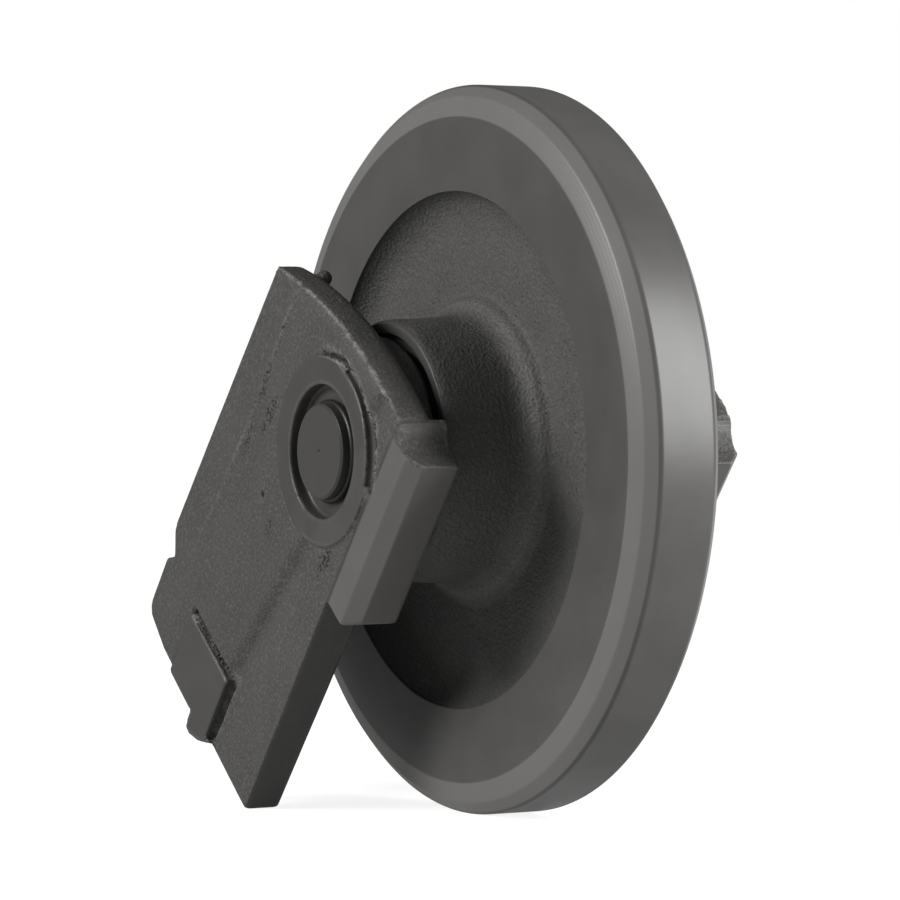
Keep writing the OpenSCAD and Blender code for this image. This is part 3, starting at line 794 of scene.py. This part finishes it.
@dataclass
class CastBracket:
    """One cast bracket: its solid's surface, softened as a casting and given its skin.

    It is worked on lying flat: length toward the rear end, width toward the guide pad, and height outward along the
    axle, all in millimetres from the axle's middle. Turns about the axle are in degrees from length toward width.
    """

    side: Side
    tread_r: float = 178.0
    rear_reach: float = 192.4
    edge_reach: float = 47.0
    front_crown: float = 260.0
    front_reach: float = 61.4
    crown_shift: float = 10.0
    front_lean: float = 38.0
    front_up: float = 0.7
    boss_r: float = 45.7
    boss_out: float = 94.1
    counterbore_out: float = 87.6
    collar_out: float = 62.3
    pad_front: float = 48.5
    pad_rear: float = 54.4
    seat_out: float = 95.2
    seat_from: float = 153.4
    seat_side: float = -4.5
    seat_edge: float = -56.0
    trench_run: Span = Span(0.1, 0.5, 2.0, 6.5)
    trench_deep: float = 3.4
    groove_gap: float = 5.2
    groove_turn: Span = Span(96.0, 112.0, 196.0, 226.0)
    groove_head: Span = Span(96.0, 107.0, 112.0, 116.0)
    groove_tail: Span = Span(180.0, 184.0, 188.0, 208.0)
    groove_deep: float = 4.4
    shade_gap: float = 1.3
    shade_turn: Span = Span(182.0, 190.0, 212.0, 230.0)
    bend_at: float = 69.0
    crest_up: float = 0.5
    slope_at: float = 14.8
    slope_w: float = 9.0
    slope_drop: float = 2.0
    slope_angle: float = 9.0
    dip_at: float = 8.0
    dip_deep: float = 1.5
    hole_at: tuple[float, float] = (55.1, -33.7)
    hole_r: float = 1.9
    hole_deep: float = 1.5
    hole_rim: float = 0.35
    voxel: float = 1.15
    edge_turn: float = 25.0
    edge_gap: float = 0.4
    edge_rise: float = 0.06
    edge_reach_in: float = 0.9
    edge_draw: float = 0.8
    edge_rounds: int = 2
    edge_batches: int = 40
    sand_seed: int = 19
    sand_mm: tuple[float, ...] = (21.0, 7.5, 4.2, 2.3)

    @property
    def node(self) -> str:
        """Name of the solid."""
        return f"{self.side.name.lower()}_bracket"

    def frame_rows(self) -> Array:
        """Work out how the bracket hangs: its guide edge's rear corner is as low as the tread.

        Returns:
            Rows that turn a point of the part into length, width and height of the flat bracket.
        """
        corner = math.hypot(self.rear_reach, self.edge_reach)
        hang = math.pi + math.atan2(self.edge_reach, self.rear_reach) - math.asin(self.tread_r / corner)
        c, s = math.cos(hang), math.sin(hang)
        return np.array([(c, 0, -s), (s, 0, c), (0, self.side.value, 0)])

    def solid(self) -> tuple[Array, Array]:
        """Read the solid's surface with its doubled corners merged, lying flat.

        Returns:
            Points in millimetres and the triangles between them.
        """
        co, corners = mesh_arrays(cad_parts[self.node].data)
        keys, back = np.unique(np.round(co / MM, 3), axis=0, return_inverse=True)
        tris = back.reshape(-1)[corners].reshape(-1, 3)
        tris = tris[(tris[:, 0] != tris[:, 1]) & (tris[:, 1] != tris[:, 2]) & (tris[:, 2] != tris[:, 0])]
        return keys @ self.frame_rows().T, tris if self.side is Side.NEAR else tris[:, ::-1]

    def sharp_edges(self, points: Array, tris: Array) -> Array:
        """Place points along the solid's sharp outer edges.

        An edge is sharp where its two faces turn by more than edge_turn, and outer where the second face falls below
        the first one's plane. Each edge is divided evenly into steps no longer than edge_gap.

        Args:
            points: Corners of the solid, lying flat.
            tris: Its triangles.

        Returns:
            The points along the edges.
        """
        corner = points[tris]
        face = np.cross(corner[:, 1] - corner[:, 0], corner[:, 2] - corner[:, 0])
        face /= np.maximum(np.linalg.norm(face, axis=1, keepdims=True), TINY)
        pairs = np.sort(np.concatenate([tris[:, (0, 1)], tris[:, (1, 2)], tris[:, (2, 0)]]), axis=1)
        order = np.lexsort((pairs[:, 1], pairs[:, 0]))
        pairs, owner = pairs[order], np.tile(np.arange(len(tris)), 3)[order]
        twin = np.flatnonzero((pairs[1:] == pairs[:-1]).all(axis=1))
        first, second = owner[twin], owner[twin + 1]
        turn = np.einsum("ij,ij->i", face[first], face[second])
        fall = np.einsum("ij,ij->i", corner[second].mean(axis=1) - points[pairs[twin, 0]], face[first])
        ends = pairs[twin[(turn < math.cos(math.radians(self.edge_turn))) & (fall < 0)]]
        start, run = points[ends[:, 0]], points[ends[:, 1]] - points[ends[:, 0]]
        steps = np.ceil(np.linalg.norm(run, axis=1) / self.edge_gap).astype(int) + 1
        which = np.repeat(np.arange(len(ends)), steps)
        share = (np.arange(len(which)) - (np.cumsum(steps) - steps)[which]) / np.maximum(steps - 1, 1)[which]
        return start[which] + run[which] * share[:, None]

    def cover(self, points: Array, tris: Array) -> Skin:
        """Cover the solid with even four-sided faces that lie on it.

        Args:
            points: Corners of the solid, lying flat.
            tris: Its triangles.

        Returns:
            The even surface, lying flat.
        """
        mesh = bpy.data.meshes.new("flat_solid")
        mesh.from_pydata((points * MM).tolist(), [], tris.tolist())
        base, obj = (add_object(name, mesh) for name in ("flat_solid", "flat_cover"))
        cover = obj.modifiers.new("cover", "REMESH")
        cover.mode = "VOXEL"
        cover.voxel_size = self.voxel * MM
        draw = obj.modifiers.new("draw", "SHRINKWRAP")
        draw.target = base
        co, quads = mesh_arrays(obj.evaluated_get(bpy.context.evaluated_depsgraph_get()).to_mesh())
        bpy.data.objects.remove(obj)
        bpy.data.objects.remove(base)
        bpy.data.meshes.remove(mesh)
        return Skin(co.astype(float) / MM, quads.reshape(-1, 4))

    def remeshed(self) -> Skin:
        """Make the even surface, with its edges on the solid's and only lightly broken, as a casting's are.

        Each vertex that stands up as an edge moves most of the way to the nearest point of the solid's sharp edges, if
        one is near. The vertices of each edge are then drawn into line.

        Returns:
            The even surface, lying flat.
        """
        points, tris = self.solid()
        skin = self.cover(points, tris)
        marks = self.sharp_edges(points, tris)
        for some in np.array_split(np.flatnonzero(skin.ridge() > self.edge_rise), self.edge_batches):
            away = np.linalg.norm(skin.points[some, None] - marks, axis=2)
            best = marks[away.argmin(axis=1)]
            close = (away.min(axis=1) < self.edge_reach_in)[:, None]
            skin.points[some] += self.edge_draw * close * (best - skin.points[some])
        skin.even_edges(self.edge_rise, self.edge_rounds)
        return skin

    def cut_faces(self, points: Array, normals: Array) -> Array:
        """Find the faces that were machined after casting: boss, collar end, guide pad, rear seat, end and guide edge.

        Args:
            points: Vertices, lying flat.
            normals: Their normals.

        Returns:
            1 on a machined face, 0 on the cast skin, easing between.
        """
        length, width, height = points.T
        boss = 1 - smooth_step(self.boss_r - 0.3, self.boss_r + 0.9, np.hypot(length, width))
        boss *= smooth_step(self.counterbore_out - 9, self.counterbore_out - 7, height)
        collar = 1 - smooth_step(self.collar_out + 0.6, self.collar_out + 1.6, height)
        pad = smooth_step(self.edge_reach - 0.6, self.edge_reach + 0.6, width)
        pad *= smooth_step(-0.2, 0.8, length + self.pad_front)
        seat = smooth_step(self.seat_out - 0.45, self.seat_out - 0.15, height) * (length > self.seat_from - 2)
        end = 0.8 * smooth_step(self.rear_reach - 2.5, self.rear_reach - 1, length)
        end *= smooth_step(0.6, 0.9, normals[:, 0])
        edge = 0.85 * smooth_step(self.edge_reach - 1.5, self.edge_reach - 0.5, width)
        edge *= smooth_step(0.6, 0.9, normals[:, 1])
        return np.max([boss, collar, pad, seat, end, edge], axis=0)

    def down_slope(self, points: Array) -> Array:
        """Distance from the slope's upper edge toward the lower strip, across the slope."""
        tilt = math.radians(self.slope_angle)
        return points[:, 0] * math.sin(tilt) + points[:, 1] * math.cos(tilt) - self.slope_at

    def zones(self, flat: Array, normals: Array) -> BracketZones:
        """Find the places on the skin.

        Most are bell-shaped bands along a line, eased off at its ends. The front edge is told by how far its normals
        lean outward, the groove and what lies along it by the gap to the boss and the turn about it, the crest by the
        bend, which swerves toward the rear, and the valley and its trench by the distance from the rear seat.

        Args:
            flat: Vertices, lying flat.
            normals: Their normals.

        Returns:
            The places.
        """
        length, width, height = flat.T
        outer = smooth_step(0.5, 0.9, normals[:, 2]) * (height > self.boss_out - 8)

        crown_at = self.front_crown - self.front_reach
        reach = np.hypot(length - crown_at, width - self.crown_shift)
        ahead = np.maximum(normals[:, 0] * (length - crown_at) / reach, TINY)
        lean = np.degrees(np.arctan2(normals[:, 2], ahead))
        front = bell(lean - self.front_lean, 10) * smooth_step(9, 5, self.front_crown - reach)

        gap = np.hypot(length, width) - self.boss_r
        turn = np.degrees(np.arctan2(width, length)) % 360
        raised = height > self.boss_out - 6
        along = self.groove_turn.over(turn) * raised
        ends = self.groove_head.over(turn) + self.groove_tail.over(turn)
        land = (1 - along) * (height > self.boss_out - 0.3)

        swerve = 0.0009 * np.maximum(length - 30, 0) ** 2
        crest = bell(width + self.bend_at - 2 + swerve, 1.5) * smooth_step(135, 110, length)

        before, beside = self.seat_from - length, width - self.seat_side
        facing = smooth_step(0.15, 0.4, normals[:, 2]) * (height > self.boss_out - 7)
        low = smooth_step(self.boss_out + 0.35, self.boss_out - 0.4, height) * (before < 12) * (width > self.seat_edge)
        inward = smooth_step(self.seat_edge - 0.5, self.seat_edge + 2, width) * smooth_step(0, 12, -beside)

        strip = smooth_step(self.dip_at, self.dip_at + 4, self.down_slope(flat))
        foot_shade = bell(width - self.edge_reach + 0.7, 0.8) * smooth_step(-34, -26, length) * (length < self.pad_rear)
        return BracketZones(
            flat=flat, normals=normals, cast=1 - self.cut_faces(flat, normals), outer=outer,
            front=front * (height > self.boss_out - 9),
            groove=bell(gap - self.groove_gap, 1.8) * along,
            brim=bell(gap, 0.5) * along,
            banks=bell(gap - 4, 2.5) * along,
            ends=ends * bell(gap - 1.9, 1 + ends) * raised,
            seam=bell(gap - self.shade_gap, self.shade_gap) * self.shade_turn.over(turn) * outer,
            merge=smooth_step(10, 1, gap) * land,
            crest=crest * outer,
            valley=bell(np.maximum(before, beside) - 4, 4) * low * facing,
            trench=self.trench_run.over(before) * inward * facing,
            strip=strip * smooth_step(self.edge_reach, self.edge_reach - 2, width) * outer,
            foot_shade=foot_shade * outer,
            hole=np.hypot(length - self.hole_at[0], width - self.hole_at[1]) / self.hole_r)

    def relief(self, zones: BracketZones, sand: list[Array]) -> Array:
        """Work out how far the cast skin stands out along its normal.

        Sand noise in long waves, bumps and grains is strongest on the outer face and calm beyond the bend. Coarser
        noise roughens the front edge, the groove and the valley. The front edge and the bend get a crest, the slope to
        the lower strip is made steeper with a hollow at its foot, and the blow hole has a raised rim.

        Args:
            zones: Places on the skin.
            sand: Sand noise in waves, bumps, coarse grains and grains.

        Returns:
            One height per vertex.
        """
        wave, bump, coarse, grain = sand
        outer, down = zones.outer, self.down_slope(zones.flat)
        calm = 1 - 0.85 * smooth_step(-self.bend_at - 1, -self.bend_at - 5, zones.flat[:, 1])
        rough = np.clip(zones.front + zones.groove + 0.7 * zones.valley, 0, 1)
        height = calm * ((0.04 + 0.2 * outer) * wave + (0.02 + 0.13 * outer) * bump + 0.06 * outer * grain)
        height += rough * (0.42 * coarse + 0.3 * grain)
        height += self.front_up * zones.front + self.crest_up * zones.crest
        ramp = np.clip(down / self.slope_w, 0, 1) - smooth_step(-2.5, self.dip_at, down)
        dip = bell(down - self.dip_at, np.where(down < self.dip_at, 4.8, 10))
        height += outer * (self.slope_drop * ramp - self.dip_deep * dip)
        rim = np.exp(-3 * (zones.hole - 1.5) ** 2)
        return height - outer * (self.hole_deep * bell(zones.hole, 1) - self.hole_rim * rim)

    def lowered(self, height: Array, zones: BracketZones) -> Array:
        """Sink the groove's ends and the trench, and run the land down to the boss.

        Args:
            height: Height of each vertex with its relief.
            zones: Places on the skin.

        Returns:
            The new heights.
        """
        floor = np.where(zones.ends > 0.05, self.boss_out - self.groove_deep * zones.ends, np.inf)
        sunk = np.minimum(height, floor) - self.trench_deep * zones.trench * zones.cast
        return sunk - zones.merge * np.maximum(sunk - self.boss_out, 0)

    def wear_and_sheen(self, skin: Skin, zones: BracketZones, sand: list[Array]) -> Array:
        """Find where the colour is paler: worn paint with painted highlight, in patches on the front edge and along
        the pad's top edge; painted highlights in patches along the groove, the bend and the valley and along the
        boss's rim;
        worn edges; the sliding pad, burnished and with painted sheen; and faint painted light on the lower strip.

        Args:
            skin: The surface with its relief, lying flat.
            zones: Places on the skin.
            sand: Sand noise in waves, bumps, coarse grains and grains.

        Returns:
            0 where the film's own colour shows to 1 where it is palest.
        """
        length, width, _ = zones.flat.T
        patchy = np.clip(0.62 + 0.7 * sand[2] + 0.5 * sand[3], 0, 1)
        # Worn paint with painted highlight on the front edge; painted highlights along the groove, the bend and the
        # valley.
        rough = np.max([1.2 * zones.front, 0.6 * zones.groove, 0.2 * zones.crest, 0.35 * zones.valley], axis=0)
        edge = np.clip(skin.neighbour_mean(skin.ridge()) / 0.3, 0, 1)
        lip = edge * smooth_step(-42, -46, length) * smooth_step(self.edge_reach - 3, self.edge_reach, width)
        # The pad's chamfer and sliding face are paler, burnished by the track guide and with painted sheen.
        chamfer = bell(zones.normals[:, 1] - zones.normals[:, 2], 0.25) * (width > self.edge_reach + 8)
        cut = np.maximum(0.26 * chamfer, 0.18 * smooth_step(self.edge_reach, self.edge_reach + 2, width))
        # Painted highlight on the boss's rim, worn paint with painted highlight on the pad's top edge, worn edges, the
        # pad, and faint painted light on the lower strip.
        even = [0.5 * zones.brim, 0.8 * lip, 0.12 * edge, cut * (1 - zones.cast), 0.03 * zones.strip]
        return np.clip(np.max([rough * patchy, *even], axis=0), 0, 1)

    def pits_and_shade(self, zones: BracketZones) -> Array:
        """Mark where sand pits gather, and where pits run together to painted shade.

        They gather in patches along the bend, beside the pad and by the boss, each a bell stretched along the bracket,
        and along the groove and the valley, which they also darken as painted shade. Solid painted shade lies along
        the boss beyond the groove, in the trench and in the blow hole, and a dotted line of it along the pad's foot.

        Args:
            zones: Places on the skin.

        Returns:
            0 on sound skin, 1 where pits are closest, and more in solid painted shade.
        """
        length, width, height = zones.flat.T
        patches = ((-20, -66, 14, 4.5), (14, -65, 16, 4), (46, -62, 12, 4), (40, 33, 13, 6), (64, -18, 7, 4),
                   (20, -52, 18, 5))
        gathered = sum(bell(length - at, long) * bell(width - across, wide) for at, across, long, wide in patches)
        gathered = np.clip(gathered, 0, 1) * (height > self.boss_out - 6) * zones.outer
        # Pits along the groove's banks and in the valley also darken them as painted shade.
        closest = np.clip(gathered + 0.9 * zones.banks + 0.6 * zones.valley, 0, 1)
        # The blow hole is filled with solid painted shade.
        hole = 1.9 * zones.outer * bell(1.3 * zones.hole, 1)
        # Solid painted shade along the boss and in the trench, and pits along the pad's foot as a line of painted
        # shade.
        return (closest + 2.5 * zones.seam + 0.9 * zones.foot_shade + 2.3 * zones.trench + hole) * zones.cast

    def build(self) -> bpy.types.Object:
        """Raise the cast skin on the even surface and hang the bracket in its place. Machined faces stay smooth.

        Returns:
            The bracket's piece.
        """
        skin = self.remeshed()
        zones = self.zones(skin.points.copy(), skin.normals())
        noise = SandNoise(self.sand_seed + self.side.value)
        sand = [noise.sample(zones.flat, size) for size in self.sand_mm]
        skin.points = zones.flat + zones.normals * (zones.cast * self.relief(zones, sand))[:, None]
        skin.points[:, 2] = self.lowered(skin.points[:, 2], zones)
        looks = {"cast": zones.cast, "wear_and_sheen": self.wear_and_sheen(skin, zones, sand), "pits_and_shade": self.pits_and_shade(zones)}
        skin.points = skin.points @ self.frame_rows()
        if self.side is Side.FAR:
            skin.quads = skin.quads[:, ::-1]
        piece = skin.piece(f"{self.node}_skin", "carrier", looks)
        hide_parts(self.node)
        return piece

    def dress(self, piece: bpy.types.Object) -> None:
        """Paint the bracket, whose smooth faces were milled."""
        name = f"enamel_on_milled_casting_{self.side.name.lower()}"
        piece.data.materials.append(CastEnamel(name, Tooling.MILLED, "#474644", "#424140").material())


@dataclass
class SealedAxle:
    """The axle and what sits on it: solids that keep their shape and get their finishes."""

    axle: TurnedPart = TurnedPart("enamel_on_turned_axle", "#444342", "#3f3e3d", 0.0, 0.42, 1.6, 0.012)
    bush: TurnedPart = TurnedPart("turned_tin_bronze", "#a8834e", "#8d6a3c", 1.0, 0.34)
    seal: TurnedPart = TurnedPart("lapped_chilled_iron", "#9a9c9f", "#808285", 1.0, 0.24, 0.8, 0.004)
    # The wire's colour is darkened beyond its phosphate finish as painted shade on the counterbore's floor.
    wire: TurnedPart = TurnedPart("phosphated_wire_painted_shade", "#2b2a29", "#222221", 0.0, 0.38)
    plug: TurnedPart = TurnedPart("zinc_plated_plug", "#a3a195", "#8d8a78", 1.0, 0.33)
    washer: TurnedPart = TurnedPart("pressed_copper", "#b87a50", "#96583a", 1.0, 0.32)
    rubber: MouldedRubber = MouldedRubber()

    def dress(self) -> list[str]:
        """Give each solid its finish by the end of its name.

        Returns:
            The names of the solids that were dressed.
        """
        ends = {"axle_shaft": self.axle, "bush": self.bush, "seal_ring": self.seal, "toric": self.rubber,
                "o_ring": self.rubber, "snap_ring": self.wire, "plug": self.plug, "washer": self.washer}
        made = {finish: finish.material() for finish in dict.fromkeys(ends.values())}
        done = []
        for name, obj in sorted(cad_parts.items()):
            finish = next((f for end, f in ends.items() if name.endswith(end)), None)
            if finish is not None:
                obj.data.materials.clear()
                obj.data.materials.append(made[finish])
                done.append(name)
        return done


@dataclass
class Studio:
    """White studio: a pale floor, soft lamps at both sides, and the camera where the photograph was taken from."""

    floor_z: float = -0.178
    floor_r: float = 7.0
    floor_rings: int = 12
    floor_turns: int = 96
    mirror_level: float = 0.14
    floor_light: float = 0.24
    room_light: float = 0.025
    sensor: float = 36.0
    lens: float = 167.34
    eye: Triple = (1.7709, -1.0376, 0.0112)
    right: Triple = (0.4972, 0.8676, -0.0097)
    up: Triple = (0.0, 0.0112, 0.9999)
    forward: Triple = (-0.8676, 0.4972, -0.0055)

    def seen(self, tree: Tree) -> Node:
        """Tell rays that show the background, straight or mirrored, from rays that light the part.

        Args:
            tree: Node tree that gets the nodes.

        Returns:
            A node whose output is 1 on camera and transmission rays, and mirror_level on glossy rays.
        """
        path = add_node(tree, "LightPath").outputs
        mirrored = add_node(tree, "Math", {0: path["Is Glossy Ray"], 1: self.mirror_level}, operation="MULTIPLY")
        first = add_node(tree, "Math", {0: path["Is Camera Ray"], 1: mirrored}, operation="MAXIMUM")
        return add_node(tree, "Math", {0: first, 1: path["Is Transmission Ray"]}, operation="MAXIMUM")

    def floor_finish(self) -> bpy.types.Material:
        """Make the floor's matt white and glow, which keeps shadows, is dimmer near the part as painted shade, and
        brightens to full white away from the part.

        Returns:
            The new material.
        """
        mat, tree = blank_material("matt_white_floor")
        place = add_node(tree, "TexCoord").outputs["Object"]
        away = add_node(tree, "VectorMath", {0: place}, operation="LENGTH").outputs["Value"]
        # Painted shade: the glow is dimmer near the part and full white away from it.
        fade = {"Value": away, "From Min": 0.2, "From Max": 1.6, "To Min": 0.88, "To Max": 1.0}
        level = add_node(tree, "MapRange", fade, interpolation_type="SMOOTHSTEP")
        shown = {"Value": self.seen(tree), "To Min": self.floor_light, "To Max": level}
        lit = add_node(tree, "Emission", {"Strength": add_node(tree, "MapRange", shown)})
        matt = add_node(tree, "BsdfDiffuse", {"Color": (0.3, 0.3, 0.3, 1)})
        both = add_node(tree, "AddShader", {0: lit, 1: matt})
        add_node(tree, "OutputMaterial", {"Surface": both})
        return mat

    def build_floor(self) -> None:
        """Lay a round floor: rings of points at growing radius, r cos t and r sin t, closed at the middle."""
        turn = np.linspace(0, 2 * math.pi, self.floor_turns, endpoint=False)
        radius = self.floor_r * np.linspace(0.02, 1, self.floor_rings)[:, None] ** 2
        level = np.full((self.floor_rings, self.floor_turns), self.floor_z)
        rings = np.stack([radius * np.cos(turn), radius * np.sin(turn), level], 2).reshape(-1, 3)
        faces = ring_faces(self.floor_rings, self.floor_turns, closed=False).tolist()
        mesh = bpy.data.meshes.new("studio_floor")
        mesh.from_pydata(rings.tolist(), [], faces + [list(range(self.floor_turns))])
        mesh.materials.append(self.floor_finish())
        floor = add_object("studio_floor", mesh)

    def build_world(self) -> None:
        """Fill the room with a dim even light that shows as white behind the part."""
        world = bpy.data.worlds.new("white_room")
        bpy.context.scene.world = world
        world.use_nodes = True
        tree = world.node_tree
        tree.nodes.clear()
        level = add_node(tree, "MapRange", {"Value": self.seen(tree), "To Min": self.room_light})
        back = add_node(tree, "Background", {"Color": (1, 1, 1, 1), "Strength": level})
        add_node(tree, "OutputWorld", {"Surface": back})

    def build_lamp(self, name: str, place: Triple, size: tuple[float, float], power: float) -> None:
        """Hang a soft box that faces the wheel.

        Args:
            name: Name of the lamp.
            place: Where it hangs, in metres.
            size: Its width and height, in metres.
            power: Its power, in watts.
        """
        data = bpy.data.lights.new(name, "AREA")
        data.shape = "RECTANGLE"
        data.size, data.size_y = size
        data.energy = power
        back = np.array(place) / np.linalg.norm(place)
        side = np.cross((0, 0, 1), back)
        side /= np.linalg.norm(side)
        add_object(name, data).matrix_world = standing(side, np.cross(back, side), back, place)

    def build_camera(self) -> None:
        """Set the camera at the photograph's place, angle and field of view."""
        data = bpy.data.cameras.new("camera")
        data.sensor_width = self.sensor
        data.lens = self.lens
        camera = add_object("camera", data)
        camera.matrix_world = standing(self.right, self.up, -np.array(self.forward), self.eye)
        bpy.context.scene.camera = camera

    def build(self) -> None:
        """Set up the whole studio."""
        bpy.context.scene.view_settings.view_transform = "Standard"
        self.build_floor()
        self.build_world()
        self.build_lamp("soft_box_front", (-0.45, -2.3, 1.15), (1.1, 1.1), 63)
        self.build_lamp("soft_box_right", (1.9, 1.3, 0.8), (0.6, 1.7), 91)
        self.build_camera()


def main() -> None:
    """Build the studio and the pieces in order, and log each piece's faces."""
    logging.basicConfig(level=logging.INFO, format="%(name)s: %(message)s")
    Studio().build()
    for part in (GuideWheel(), CastBracket(Side.NEAR), CastBracket(Side.FAR)):
        piece = part.build()
        part.dress(piece)
        LOG.info("%s: %d faces", piece.name, len(piece.data.polygons))
    for name in SealedAxle().dress():
        LOG.info("%s: solid with its finish", name)


if __name__ == "__main__":
    main()
